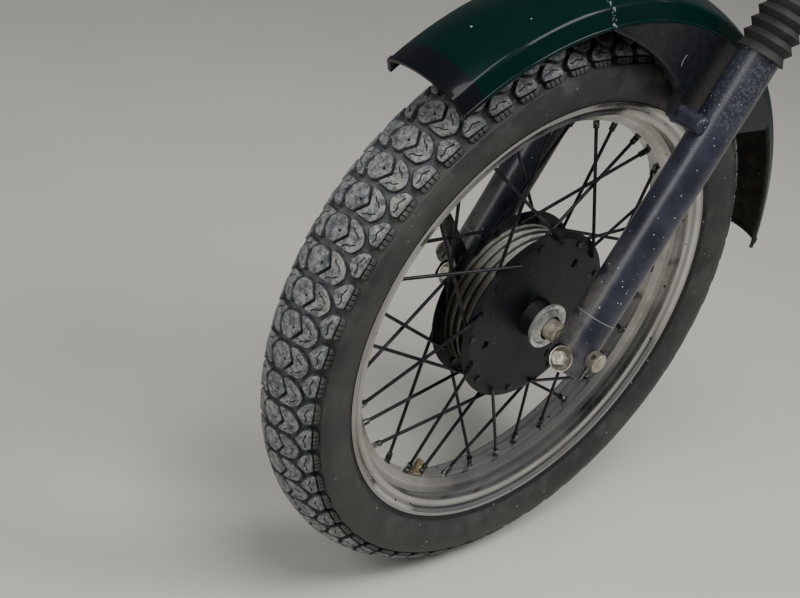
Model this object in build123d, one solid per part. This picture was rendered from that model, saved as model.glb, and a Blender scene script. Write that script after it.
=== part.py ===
from build123d import *
from math import cos, radians, sin
import os

os.makedirs("parts", exist_ok=True)

# Front end of a small motorcycle: laced wheel, lower fork legs and mudguard.
# Millimetres, +X forward, +Y to the rider's left, +Z up. Every piece is drawn
# about the wheel's centre, then moved so that the origin is on the left
# stanchion's axis, in the middle of the length that its yoke clamps.

# Driving sizes
RAKE = 27.0                # the legs lean back from the vertical, degrees
LEG_SPREAD = 86.0          # leg axis from the wheel's middle plane
LEG_R = 21.5
STANCHION_R = 17.5
STANCHION_TOP = 500.0      # up the leg from the axle
YOKE_GRIP = 50.0           # length that a yoke clamps
TYRE_HALF_W = 44.0
TYRE_H = 67.5              # tread above the rim's lip
RIM_HALF_W = 34.0
RIM_LIP_R = 242.5          # flange edge of an 18 inch rim
HUB_R = 97.0               # flange discs of the full-width hub
HUB_HALF_W = 25.5
AXLE_R = 7.5
SPOKES = 36

# Clearances
RUNNING = 0.05             # of the hub and the stanchions, on radius
PRESS = 0.02               # of pieces fixed on a shaft or in a bore
LOOSE = 0.3                # of bolts, spoke necks and nipples
SEAM = 0.3                 # between pieces that lie against each other
PAST = 1.0                 # a cut runs this far past what it cuts

SIDES = (("l", 1), ("r", -1))
STANDING = (Align.CENTER, Align.CENTER, Align.MIN)
HANGING = (Align.CENTER, Align.CENTER, Align.MAX)
TYRE_R = RIM_LIP_R + TYRE_H


def ring(profile):
    """Closed outline of (radius, y) points turned about the axle."""
    return revolve(make_face(Polyline(*profile, close=True)), Axis.Y)


def across(radius, y0, y1):
    """Cylinder along the axle between two places."""
    return Pos(0, (y0 + y1) / 2, 0) * Rot(90, 0, 0) * Cylinder(radius, abs(y1 - y0))


def at_angle(radius, degrees, y=0.0):
    """Point at a radius and an angle round the axle, from forward towards up."""
    return (radius * cos(radians(degrees)), y, radius * sin(radians(degrees)))


def along(start, end, radius, height):
    """Cylinder of a given height from the first point towards the second."""
    way = (end - start).normalized()
    return Plane(origin=start + way * (height / 2), z_dir=way).location * Cylinder(radius, height)


def leg_frame(side):
    """Place of a leg: z up the leg from the axle, x ahead of it, y to the left."""
    return Plane(
        origin=(0, side * LEG_SPREAD, 0),
        x_dir=(cos(radians(RAKE)), 0, sin(radians(RAKE))),
        z_dir=(-sin(radians(RAKE)), 0, cos(radians(RAKE))),
    ).location


GRIP_MID = STANCHION_TOP - YOKE_GRIP / 2
WHEEL = Pos(GRIP_MID * sin(radians(RAKE)), -LEG_SPREAD, -GRIP_MID * cos(radians(RAKE)))


def save(node, shape):
    export_step(WHEEL * shape, "parts/" + node + ".step")


# Rim: rolled steel with a drop centre, pierced for nipples and valve
RIM_WALL = 2.2
FLANGE_H = 13.9            # lip above the bead's seat
FLANGE_T = 3.5
FLANGE_FOOT = 5.0          # height at which the flange starts to lean out
FLANGE_LEAN = 3.2
SEAT_W = 12.0
SEAT_FALL = 1.0
WELL_DEPTH = 14.6
WELL_HALF_W = 9.0
SEAT_R = RIM_LIP_R - FLANGE_H
SEAT_Y = RIM_HALF_W - FLANGE_T - FLANGE_LEAN
WELL_R = SEAT_R - WELL_DEPTH
rim_outside = [
    (RIM_LIP_R, RIM_HALF_W),
    (RIM_LIP_R, RIM_HALF_W - FLANGE_T),
    (SEAT_R + FLANGE_FOOT, SEAT_Y),
    (SEAT_R, SEAT_Y),
    (SEAT_R - SEAT_FALL, SEAT_Y - SEAT_W),
    (WELL_R, WELL_HALF_W),
]
rim_inside = [
    (WELL_R - RIM_WALL, WELL_HALF_W - RIM_WALL / 2),
    (SEAT_R - SEAT_FALL - RIM_WALL, SEAT_Y - SEAT_W),
    (SEAT_R - RIM_WALL, SEAT_Y + RIM_WALL / 2),
    (SEAT_R + FLANGE_FOOT, SEAT_Y + RIM_WALL),
    (RIM_LIP_R - FLANGE_T, RIM_HALF_W),
]
rim_half = rim_outside + [(r, -y) for r, y in reversed(rim_outside)]
rim = ring(rim_half + [(r, -y) for r, y in reversed(rim_inside)] + rim_inside)

# Tyre: hollow carcass with its beads on the rim's seats. The tread is cut into
# blocks by a groove round each shoulder, slots across the crown, and slots
# across the shoulders half a pitch round from those.
CARCASS = 9.0
TREAD = 14.0
TREAD_HALF_W = 22.0
CROWN_DROP = 4.5           # tread's edge below its middle
BELLY = 31.5               # widest place above the rim's lip
BELLY_BULGE = 14.0
BELLY_SLOPE = 2.6
SHOULDER_RISE = 20.0
SHOULDER_IN = 7.0
LIP_STEP = 3.0             # where the sidewall leaves the lip
BEAD_GAP = 0.5
BEAD_H = 11.0
TREAD_CUT = 6.0            # depth of groove and slots
TREAD_PITCHES = 60
TREAD_PHASE = 2.0          # first crown slot, degrees from forward towards up
CROWN_SLOT_W = 4.5
SHOULDER_SLOT_W = 6.0
GROOVE_IN = 25.0           # groove round a shoulder, from the wheel's middle plane
GROOVE_OUT = 29.5
SLOT_END = 11.0            # shoulder slots end this far above the belly
BELLY_R = RIM_LIP_R + BELLY
with BuildSketch(Plane.XY) as tyre_section:
    with BuildLine():
        toe = (SEAT_R + BEAD_GAP, SEAT_Y - SEAT_W)
        bead = [
            toe,
            (SEAT_R + BEAD_GAP, SEAT_Y - BEAD_GAP),
            (SEAT_R + FLANGE_FOOT, SEAT_Y - BEAD_GAP),
            (RIM_LIP_R + BEAD_GAP, RIM_HALF_W - FLANGE_T - BEAD_GAP),
            (RIM_LIP_R + BEAD_GAP, RIM_HALF_W - BEAD_GAP),
            (RIM_LIP_R + LIP_STEP, RIM_HALF_W + LIP_STEP / 2),
        ]
        Polyline(*bead)
        belly = (BELLY_R, TYRE_HALF_W)
        shoulder = (BELLY_R + SHOULDER_RISE, TYRE_HALF_W - SHOULDER_IN)
        tread_edge = (TYRE_R - CROWN_DROP, TREAD_HALF_W)
        ThreePointArc(bead[-1], (BELLY_R - BELLY_BULGE, TYRE_HALF_W - BELLY_SLOPE), belly)
        ThreePointArc(belly, shoulder, tread_edge)
        ThreePointArc(tread_edge, (TYRE_R - CROWN_DROP / 4, TREAD_HALF_W / 2), (TYRE_R, 0))
        Polyline(
            (TYRE_R, 0),
            (TYRE_R - TREAD, 0),
            (TYRE_R - TREAD - CROWN_DROP, TREAD_HALF_W),
            (BELLY_R + CARCASS, TYRE_HALF_W - CARCASS),
            (BELLY_R - BELLY_BULGE, TYRE_HALF_W - CARCASS),
            (SEAT_R + BEAD_GAP + BEAD_H, SEAT_Y - CARCASS),
            toe,
        )
    make_face()
    mirror(about=Plane.XZ)
with BuildSketch(Plane.XY) as above_belly:
    with BuildLine():
        ThreePointArc(belly, shoulder, tread_edge)
        ThreePointArc(tread_edge, (TYRE_R, 0), (tread_edge[0], -tread_edge[1]))
        ThreePointArc((tread_edge[0], -tread_edge[1]), (shoulder[0], -shoulder[1]), (belly[0], -belly[1]))
        Line((belly[0], -belly[1]), belly)
    make_face()
tread_base = offset(above_belly.sketch, -TREAD_CUT)


def tread_gap(start_y, end_y):
    """Section of a gap in the tread between two places across it."""
    with BuildSketch(Plane.XY) as gap:
        with Locations((BELLY_R + SLOT_END, start_y)):
            Rectangle(TYRE_R + PAST - BELLY_R - SLOT_END, end_y - start_y, align=(Align.MIN, Align.MIN))
        add(tread_base, mode=Mode.SUBTRACT)
    return gap.sketch


crown_slot = extrude(tread_gap(-GROOVE_IN, GROOVE_IN), CROWN_SLOT_W / 2, both=True)
gaps = []
for start_y, end_y in ((GROOVE_OUT, TYRE_HALF_W), (-TYRE_HALF_W, -GROOVE_OUT)):
    shoulder_slot = extrude(tread_gap(start_y, end_y), SHOULDER_SLOT_W / 2, both=True)
    for n in range(TREAD_PITCHES):
        gaps.append(Rot(0, -TREAD_PHASE - (n + 0.5) * 360 / TREAD_PITCHES, 0) * shoulder_slot)
for n in range(TREAD_PITCHES):
    gaps.append(Rot(0, -TREAD_PHASE - n * 360 / TREAD_PITCHES, 0) * crown_slot)
for start_y, end_y in ((GROOVE_IN, GROOVE_OUT), (-GROOVE_OUT, -GROOVE_IN)):
    gaps.append(revolve(tread_gap(start_y, end_y), Axis.Y))
save("tyre", revolve(tyre_section.sketch, Axis.Y) - gaps)

# Hub: aluminium drum with cooling fins between two black flange discs, the left
# one drawn out into a boss for the bearing
DISC_T = 4.0
DISC_BEVEL = 2.4           # depth of the bevel round a disc's outer face
DISC_BEVEL_W = 7.0
DISC_BORE = 8.0            # left disc's bore round the axle
NOSE_R = 22.0              # left disc's boss at its foot, end and height
NOSE_END_R = 18.0
NOSE_H = 15.0
DISC_HOLE_R = 5.0
DISC_HOLE_AT = 68.0
DISC_HOLES = (-14.0, 126.0, 236.0)
HOLE_IN = 10.0             # spoke holes inside the disc's edge
HOLE_R = HUB_R - HOLE_IN
FINS = 5
FIN_T = 3.0
FIN_H = 5.5
FIN_BELOW = 4.5            # fins below the spoke holes' circle
BARREL_WALL = 7.0
BOSS_R = 22.0
FIN_R = HOLE_R - FIN_BELOW
BARREL_R = FIN_R - FIN_H
DRUM_R = BARREL_R - BARREL_WALL
DRUM_Y = HUB_HALF_W - DISC_T
NOSE_Y = HUB_HALF_W + NOSE_H
drum = across(BARREL_R, -DRUM_Y, DRUM_Y)
drum -= across(DRUM_R, -DRUM_Y - PAST, DRUM_Y - BARREL_WALL)
drum += across(BOSS_R, -DRUM_Y, DRUM_Y)
for fin in range(FINS):
    fin_y = -DRUM_Y + fin * (2 * DRUM_Y - FIN_T) / (FINS - 1)
    collar = across(FIN_R, fin_y, fin_y + FIN_T)
    drum += collar - across(BARREL_R - PAST, fin_y - PAST, fin_y + FIN_T + PAST)
drum -= across(AXLE_R + RUNNING, -HUB_HALF_W, HUB_HALF_W)
save("hub_drum", drum)

# Spokes: a head behind the flange, a neck through it, an elbow, then a straight
# wire to the nipple. Even ones lie outside the flange and lead back to the rim,
# odd ones lie inside it and lead ahead, so that each crosses its neighbours.
NECK_R = 1.8
NECK_LIFT = 1.4            # outside elbows stand off the flange to clear its edge
HEAD_R = 3.6
HEAD_T = 1.8
PITCH = 360.0 / (SPOKES / 2)
HUB_PHASE = 17.5
LACE = 40.0                # degrees from a hub hole to its rim hole
TWIST = 5.0                # the hub sits this far round from the middle of the lacing
NIPPLE_R = 3.2
NIPPLE_L = 16.0
NIPPLE_SHOWS = 12.0        # of it below the well
NIPPLE_SPLAY = 3.0         # its hole beside the rim's middle
nipples = []
for name, side in SIDES:
    face_in, face_out = side * DRUM_Y, side * HUB_HALF_W
    disc = ring([
        (0, face_in), (HUB_R, face_in), (HUB_R, face_out - side * DISC_BEVEL),
        (HUB_R - DISC_BEVEL_W, face_out), (0, face_out),
    ])
    if side > 0:
        disc += ring([(0, face_in), (NOSE_R, face_in), (NOSE_R, face_out), (NOSE_END_R, NOSE_Y), (0, NOSE_Y)])
    bore_r = AXLE_R + DISC_BORE if side > 0 else DRUM_R
    disc -= across(bore_r, face_in - side * PAST, side * (NOSE_Y + PAST))
    wires = []
    for n in range(SPOKES // 2):
        hole = HUB_PHASE + n * PITCH + (0 if side > 0 else PITCH / 2)
        x, _, z = at_angle(HOLE_R, hole)
        disc -= Pos(x, 0, z) * across(NECK_R + LOOSE, face_in - side * PAST, face_out + side * PAST)
        if n % 2 == 0:
            head_y, elbow_y = face_in, face_out + side * (NECK_R + NECK_LIFT)
            rim_hole = hole - LACE + TWIST
        else:
            head_y, elbow_y = face_out, face_in - side * (NECK_R + LOOSE)
            rim_hole = hole + LACE + TWIST
        behind = HEAD_T if head_y > elbow_y else -HEAD_T
        elbow = Vector(x, elbow_y, z)
        tip = Vector(*at_angle(WELL_R - NIPPLE_SHOWS, rim_hole, side * NIPPLE_SPLAY))
        wire = along(elbow, tip, NECK_R, (tip - elbow).length) + Pos(*elbow) * Sphere(NECK_R)
        wire += Pos(x, 0, z) * across(NECK_R, head_y, elbow_y)
        wires.append(wire + Pos(x, 0, z) * across(HEAD_R, head_y, head_y + behind))
        inward = tip + (tip - elbow)
        nipples.append(along(tip, inward, NIPPLE_R, NIPPLE_L))
        rim -= along(tip, inward, NIPPLE_R + LOOSE, 2 * NIPPLE_L)
    if side > 0:
        for angle in DISC_HOLES:
            x, _, z = at_angle(DISC_HOLE_AT, angle)
            disc -= Pos(x, 0, z) * across(DISC_HOLE_R, face_in - PAST, face_out + PAST)
    save("hub_disc_" + name, disc)
    save("spokes_" + name, Compound(children=wires))
save("nipples", Compound(children=nipples))

# Valve: brass stem with its cap, and a nut against the rim
VALVE_ANGLE = -62.5
VALVE_R = 4.0
VALVE_SHOWS = 16.0
VALVE_CAP_R = 4.6
VALVE_CAP_L = 8.0
VALVE_NUT_R = 7.0
VALVE_NUT_T = 3.5
foot_of_valve = Vector(*at_angle(WELL_R, VALVE_ANGLE))
valve_end = Vector(*at_angle(WELL_R - RIM_WALL - VALVE_SHOWS, VALVE_ANGLE))
valve_nut_at = Vector(*at_angle(WELL_R - RIM_WALL - SEAM, VALVE_ANGLE))
stem = along(foot_of_valve, valve_end, VALVE_R, RIM_WALL + VALVE_SHOWS)
save("valve", stem + along(valve_end, foot_of_valve, VALVE_CAP_R, VALVE_CAP_L))
rim -= along(valve_end, foot_of_valve, VALVE_R + LOOSE, 2 * VALVE_SHOWS)
nut_way = (valve_end - valve_nut_at).normalized()
valve_nut = extrude(Plane(origin=valve_nut_at, z_dir=nut_way) * RegularPolygon(VALVE_NUT_R, 6), VALVE_NUT_T)
save("valve_nut", valve_nut - along(foot_of_valve, valve_end, VALVE_R + PRESS, VALVE_SHOWS))
save("rim", rim)

# Axle: spindle put in from the left, with a cross hole in its head, nut on the right
AXLE_HEAD_R = 10.0
AXLE_HEAD_L = 11.0
CROSS_HOLE_R = 2.8
CROSS_HOLE_LEAN = 42.0
NUT_R = 12.5
NUT_T = 10.0
THREAD_SHOWS = 6.0
LEG_OUT = LEG_SPREAD + LEG_R
LEG_IN = LEG_SPREAD - LEG_R
axle = across(AXLE_R, -LEG_OUT - NUT_T - THREAD_SHOWS, LEG_OUT)
axle += across(AXLE_HEAD_R, LEG_OUT, LEG_OUT + AXLE_HEAD_L)
cross_hole = Rot(0, -CROSS_HOLE_LEAN, 0) * Cylinder(CROSS_HOLE_R, 2 * AXLE_HEAD_R + PAST)
save("axle", axle - Pos(0, LEG_OUT + AXLE_HEAD_L / 2, 0) * cross_hole)
nut = extrude(Plane.XZ.offset(LEG_OUT) * RegularPolygon(NUT_R, 6), NUT_T)
save("axle_nut", nut - across(AXLE_R + PRESS, -LEG_OUT + PAST, -LEG_OUT - NUT_T - PAST))

# Dust cap on the boss of the left disc, raised in the middle inside a thick rim,
# and a spacer each side
CAP_R = 24.8
CAP_T = 5.0                # of its rim
CAP_EDGE = 1.5             # bevel behind the rim
CAP_RIM_W = 4.0
CAP_GROOVE = 1.6           # inside the rim
CAP_CONE = 3.0             # middle above the rim
CAP_BORE = 6.0
SPACER_R = 11.0
CAP_Y = NOSE_Y + CAP_T
save("dust_cap", ring([
    (AXLE_R + CAP_BORE, NOSE_Y),
    (CAP_R - CAP_EDGE, NOSE_Y),
    (CAP_R, NOSE_Y + CAP_EDGE),
    (CAP_R, CAP_Y),
    (CAP_R - CAP_RIM_W, CAP_Y),
    (CAP_R - CAP_RIM_W - CAP_GROOVE, CAP_Y - CAP_GROOVE),
    (AXLE_R + CAP_BORE, CAP_Y + CAP_CONE),
]))
PLATE_GAP = 2.0            # brake plate beside the hub
PLATE_T = 6.0
PLATE_Y = HUB_HALF_W + PLATE_GAP
for name, near, far in (("l", HUB_HALF_W + PLATE_GAP, LEG_IN), ("r", -PLATE_Y - PLATE_T, -LEG_IN)):
    save("spacer_" + name, across(SPACER_R, near, far) - across(AXLE_R + PRESS, near, far))

# Brake plate over the drum's open side: bosses for cam and shoe pivot, and two
# cheeks that take the tongue of the right leg's foot
PLATE_CLEAR = 3.4          # inside the spoke heads
PLATE_STEP = 8.0
PLATE_R = HOLE_R - HEAD_R - PLATE_CLEAR
CAM_IN = 23.0
CAM_ANGLE = 40.0
CAM_R = 5.0
CAM_BOSS_R = 10.0
CAM_BOSS_H = 8.0
CAM_END = 30.0             # beyond the plate's inner face
PIVOT_R = 8.0
PIVOT_H = 4.0
TONGUE_UP = 50.0
TONGUE_W = 10.0
TONGUE_L = 16.0
CHEEK_T = 7.0
CHEEK_H = 12.0
plate_out = -PLATE_Y - PLATE_T
plate = ring([
    (AXLE_R + PRESS, -PLATE_Y),
    (PLATE_R, -PLATE_Y),
    (PLATE_R, -PLATE_Y - PLATE_T / 2),
    (PLATE_R - PLATE_STEP, plate_out),
    (AXLE_R + PRESS, plate_out),
])
CAM_X, _, CAM_Z = at_angle(PLATE_R - CAM_IN, CAM_ANGLE)
pivot_x, _, pivot_z = at_angle(PLATE_R - CAM_IN, CAM_ANGLE + 180)
plate += Pos(CAM_X, 0, CAM_Z) * across(CAM_BOSS_R, -PLATE_Y - PAST, plate_out - CAM_BOSS_H)
plate += Pos(pivot_x, 0, pivot_z) * across(PIVOT_R, -PLATE_Y - PAST, plate_out - PIVOT_H)
for way in (-1, 1):
    cheek_x = way * (TONGUE_W / 2 + LOOSE + CHEEK_T / 2)
    cheek = Pos(cheek_x, LEG_SPREAD + plate_out - CHEEK_H / 2, TONGUE_UP) * Box(CHEEK_T, CHEEK_H, TONGUE_L)
    plate += leg_frame(-1) * cheek
plate -= Pos(CAM_X, 0, CAM_Z) * across(CAM_R + RUNNING, -PLATE_Y + PAST, plate_out - CAM_BOSS_H - PAST)
save("brake_plate", plate)
save("brake_cam", Pos(CAM_X, 0, CAM_Z) * across(CAM_R, -PLATE_Y, -PLATE_Y - CAM_END))

# Brake lever on the cam's end, with the cable's eye at its tip
LEVER_L = 66.0
LEVER_T = 5.0
LEVER_TURN = 57.0
LEVER_EYE_R = 9.0
LEVER_TIP_R = 6.0
CABLE_EYE_R = 3.0
LEVER_SHOWS = 2.0          # cam's end beyond the lever
lever_tip = (CAM_X + LEVER_L * cos(radians(LEVER_TURN)), CAM_Z + LEVER_L * sin(radians(LEVER_TURN)))
with BuildSketch(Plane.XZ.offset(PLATE_Y + CAM_END - LEVER_SHOWS - LEVER_T)) as arm:
    with Locations((CAM_X, CAM_Z)):
        Circle(LEVER_EYE_R)
    with Locations(lever_tip):
        Circle(LEVER_TIP_R)
    make_hull()
    with Locations((CAM_X, CAM_Z)):
        Circle(CAM_R + PRESS, mode=Mode.SUBTRACT)
    with Locations(lever_tip):
        Circle(CABLE_EYE_R, mode=Mode.SUBTRACT)
save("brake_lever", extrude(arm.sketch, LEVER_T))

# Mudguard: rolled steel, crown and turned-down sides, beaded along its edges and
# hemmed at both ends
GUARD_GAP = 19.0           # edge above the tread
GUARD_HALF_W = 50.0
GUARD_T = 1.6
GUARD_SKIRT = 17.0
GUARD_TUCK = 6.5           # the skirt leans in by this much
GUARD_RISE = 11.0
GUARD_ROUND = 7.0
GUARD_BEAD_R = 2.4
GUARD_FROM = 53.5          # degrees round the axle, from forward towards up
GUARD_TO = 176.0
HEM_T = 0.8
HEM_TURN = 0.7
EDGE_R = TYRE_R + GUARD_GAP


def guard_section(thicker):
    """Half outline of the guard's sheet, made thicker on both faces, and its mirror."""
    shoulder = (EDGE_R + GUARD_SKIRT, GUARD_HALF_W - GUARD_TUCK)
    with BuildSketch(Plane.XY) as section:
        for shrink, mode in ((-thicker, Mode.ADD), (GUARD_T + thicker, Mode.SUBTRACT)):
            foot = EDGE_R if mode == Mode.ADD else EDGE_R - PAST
            with BuildSketch(Plane.XY, mode=Mode.PRIVATE) as body:
                with BuildLine():
                    left = (shoulder[0] - shrink, shoulder[1] - shrink)
                    right = (left[0], -left[1])
                    crown = (EDGE_R + GUARD_SKIRT + GUARD_RISE - shrink, 0)
                    ThreePointArc(left, crown, right)
                    Polyline(right, (foot, shrink - GUARD_HALF_W), (foot, GUARD_HALF_W - shrink), left)
                make_face()
                corners = [v for v in body.vertices() if v.X > EDGE_R + GUARD_SKIRT / 2]
                fillet(corners, GUARD_ROUND - min(shrink, GUARD_T))
            add(body.sketch, mode=mode)
    return section.sketch


def round_axle(section, start, end):
    """Section turned about the axle from one angle to another."""
    return Rot(0, -end, 0) * revolve(section, Axis.Y, end - start)


guard = round_axle(guard_section(0.0), GUARD_FROM, GUARD_TO)
for way in (-1, 1):
    bead = Pos(EDGE_R, way * (GUARD_HALF_W - GUARD_T / 2)) * Circle(GUARD_BEAD_R)
    guard += round_axle(bead, GUARD_FROM, GUARD_TO)
for start in (GUARD_FROM, GUARD_TO - HEM_TURN):
    guard += round_axle(guard_section(HEM_T), start, start + HEM_TURN)
save("mudguard", guard)

# Side brackets: pressed plates from the legs' lugs up to the beads on the
# mudguard's edges, their front edge folded out
BRACKET_T = 3.0
TOP_FROM = 84.0            # top edge, degrees round the axle
TOP_TO = 143.5
FOLD_W = 8.0
LUG_BELOW = 82.0           # lug below the mudguard's edge, up the leg
LUG_AHEAD = 24.0
LUG_R = 9.5
LUG_PAST = 5.0             # its end beyond the leg's axis
LUG_ROUND = 4.0
LUG_BOLT_R = 4.0
BOLT_BITE = 7.0            # bolt's end past the leg's inner face
BOLT_HEAD_R = 7.5
BOLT_HEAD_T = 5.0
# out from the mudguard's edge, degrees round the axle
FRONT_MID = (-26.4, 94.0)
FRONT_FOOT = (-61.0, 107.6)
REAR_FOOT = (-53.0, 136.5)
REAR_HEAD = (-8.0, 144.6)
# ahead of and above the lug
LUG_EDGE = [(11.5, 1.0), (1.0, -11.0)]
BRACKET_Y = GUARD_HALF_W - GUARD_T / 2 + GUARD_BEAD_R + SEAM
LUG_BOLT_IN = LEG_IN - BRACKET_Y - BRACKET_T + BOLT_BITE
LUG_UP = EDGE_R - LUG_BELOW
lug_x = LUG_AHEAD * cos(radians(RAKE)) - LUG_UP * sin(radians(RAKE))
lug_z = LUG_AHEAD * sin(radians(RAKE)) + LUG_UP * cos(radians(RAKE))


def guard_point(out, degrees):
    x, _, z = at_angle(EDGE_R + out, degrees)
    return (x, z)


top_front = guard_point(0, TOP_FROM)
top_mid = guard_point(0, (TOP_FROM + TOP_TO) / 2)
top_rear = guard_point(0, TOP_TO)
front_foot = guard_point(*FRONT_FOOT)
by_lug = [(lug_x + ahead, lug_z + above) for ahead, above in LUG_EDGE]
for name, side in SIDES:
    face = Plane.XZ.offset(-side * BRACKET_Y)
    with BuildSketch(face) as plate_outline:
        with BuildLine():
            ThreePointArc(top_front, guard_point(*FRONT_MID), front_foot)
            Polyline(front_foot, *by_lug, guard_point(*REAR_FOOT), guard_point(*REAR_HEAD), top_rear)
            ThreePointArc(top_rear, top_mid, top_front)
        make_face()
    bracket = extrude(plate_outline.sketch, -side * BRACKET_T)
    with BuildSketch(face) as fold_outline:
        with BuildLine() as fold_line:
            ThreePointArc(top_front, guard_point(*FRONT_MID), front_foot)
            Line(front_foot, by_lug[0])
        trace(fold_line.edges(), BRACKET_T)
    bracket += extrude(fold_outline.sketch, -side * (BRACKET_T + FOLD_W))
    bolt_at = Pos(lug_x, 0, lug_z)
    seat = side * (BRACKET_Y + BRACKET_T)
    bracket -= bolt_at * across(LUG_BOLT_R + LOOSE, side * (BRACKET_Y - PAST), seat + side * PAST)
    save("bracket_" + name, bracket)
    bolt = bolt_at * across(LUG_BOLT_R, side * BRACKET_Y, seat + side * LUG_BOLT_IN)
    head = extrude(face * Pos(lug_x, lug_z) * RegularPolygon(BOLT_HEAD_R, 6), side * BOLT_HEAD_T)
    save("lug_bolt_" + name, bolt + head)

# Fork legs: slider tube, forged foot split and pinched on the axle with a spot
# face for the pinch bolt's washer, lug for the
# mudguard's bracket, stanchion inside the slider and a pleated gaiter over it
SLIDER_ABOVE = 85.0        # slider's top above the lug
SLIDER_FLOOR = 20.0
FOOT_TOPS = {"l": 36.7, "r": 69.0}
FOOT_DROP = 26.0
FOOT_ROUND = 4.0
FOOT_FLAT = 11.0           # spot face ahead of the leg's axis
FACE_MARGIN = 1.5          # round the washer
SLOT_W = 3.0
PINCH_DROP = 16.0
PINCH_R = 4.0
PINCH_L = 28.0
PINCH_HEAD_R = 7.5
PINCH_HEAD_T = 7.0
WASHER_R = 13.5
WASHER_T = 2.5
TUBE_WALL = 3.0
TUBE_IN = 132.0            # stanchion inside the slider
GROOVE_W = 2.0             # clip groove under the yoke
GROOVE_D = 0.8
GAITER_BELOW = 12.0        # gaiter's end below the yoke
CUFF = 4.0
CUFF_L = 8.0
PLEAT = 13.0
PLEAT_OUT = 5.0
SLIDER_TOP = LUG_UP + SLIDER_ABOVE
for name, side in SIDES:
    leg = leg_frame(side)
    join = FOOT_TOPS[name]
    slider = Pos(0, 0, join) * Cylinder(LEG_R, SLIDER_TOP - join, align=STANDING)
    bore_l = SLIDER_TOP - join - SLIDER_FLOOR
    bore = Cylinder(STANCHION_R + RUNNING, bore_l + PAST, align=STANDING)
    save("slider_" + name, leg * (slider - Pos(0, 0, join + SLIDER_FLOOR) * bore))

    foot = Pos(0, 0, join) * Cylinder(LEG_R, join + FOOT_DROP, align=HANGING)
    foot = fillet(foot.edges().group_by(Axis.Z)[0], FOOT_ROUND)
    if side < 0:
        tongue_end = LEG_SPREAD + plate_out - SEAM
        tongue = Box(TONGUE_W, tongue_end, TONGUE_L, align=(Align.CENTER, Align.MIN, Align.CENTER))
        foot += Pos(0, 0, TONGUE_UP) * tongue
    spot = Cylinder(WASHER_R + FACE_MARGIN, LEG_R, align=STANDING)
    foot -= Pos(FOOT_FLAT, 0, -PINCH_DROP) * Rot(0, 90, 0) * spot
    foot -= Rot(90, 0, 0) * Cylinder(AXLE_R + PRESS, 3 * LEG_R)
    foot -= Box(SLOT_W, 3 * LEG_R, FOOT_DROP + PAST, align=HANGING)
    foot -= Pos(0, 0, -PINCH_DROP) * Rot(0, 90, 0) * Cylinder(PINCH_R + LOOSE, 3 * LEG_R)
    save("foot_" + name, leg * foot)

    pinch = leg * Pos(FOOT_FLAT, 0, -PINCH_DROP) * Rot(0, 90, 0)
    washer = Cylinder(WASHER_R, WASHER_T) - Cylinder(PINCH_R + LOOSE, WASHER_T + PAST)
    save("pinch_washer_" + name, pinch * Pos(0, 0, WASHER_T / 2) * washer)
    bolt = extrude(RegularPolygon(PINCH_HEAD_R, 6), PINCH_HEAD_T)
    bolt += Cylinder(PINCH_R, PINCH_L, align=HANGING)
    save("pinch_bolt_" + name, pinch * Pos(0, 0, WASHER_T) * bolt)

    lug_l = LEG_SPREAD + LUG_PAST - BRACKET_Y - BRACKET_T
    lug = Cylinder(LUG_R, lug_l, align=HANGING)
    lug = fillet(lug.edges().group_by(Axis.Z)[-1], LUG_ROUND)
    hole_l = LUG_BOLT_IN + PAST
    lug -= Pos(0, 0, -lug_l) * Cylinder(LUG_BOLT_R + LOOSE, 2 * hole_l)
    lug = Pos(LUG_AHEAD, side * LUG_PAST, LUG_UP) * Rot(-90 * side, 0, 0) * lug
    lug -= Pos(0, 0, LUG_UP) * Cylinder(LEG_R, 3 * LUG_R)
    save("lug_" + name, leg * lug)

    tube_l = STANCHION_TOP - SLIDER_TOP + TUBE_IN
    tube = Cylinder(STANCHION_R, tube_l, align=HANGING)
    groove = Cylinder(STANCHION_R + PAST, GROOVE_W) - Cylinder(STANCHION_R - GROOVE_D, GROOVE_W)
    tube -= Pos(0, 0, -YOKE_GRIP - GROOVE_W / 2) * groove
    tube -= Cylinder(STANCHION_R - TUBE_WALL, 3 * tube_l)
    save("stanchion_" + name, leg * Pos(0, 0, STANCHION_TOP) * tube)

    gaiter_top = STANCHION_TOP - YOKE_GRIP - GAITER_BELOW
    gaiter_bore = STANCHION_R + SEAM
    pleats = [(gaiter_bore, SLIDER_TOP), (LEG_R + CUFF, SLIDER_TOP)]
    valley = SLIDER_TOP + CUFF_L
    while valley + PLEAT < gaiter_top - CUFF_L:
        pleats += [(LEG_R, valley), (LEG_R + PLEAT_OUT, valley + PLEAT / 2)]
        valley += PLEAT
    pleats += [(LEG_R, valley), (LEG_R, gaiter_top), (gaiter_bore, gaiter_top)]
    gaiter = revolve(Plane.XZ * make_face(Polyline(*pleats, close=True)), Axis.Z)
    save("gaiter_" + name, leg * gaiter)
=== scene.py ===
import math
import random

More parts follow.
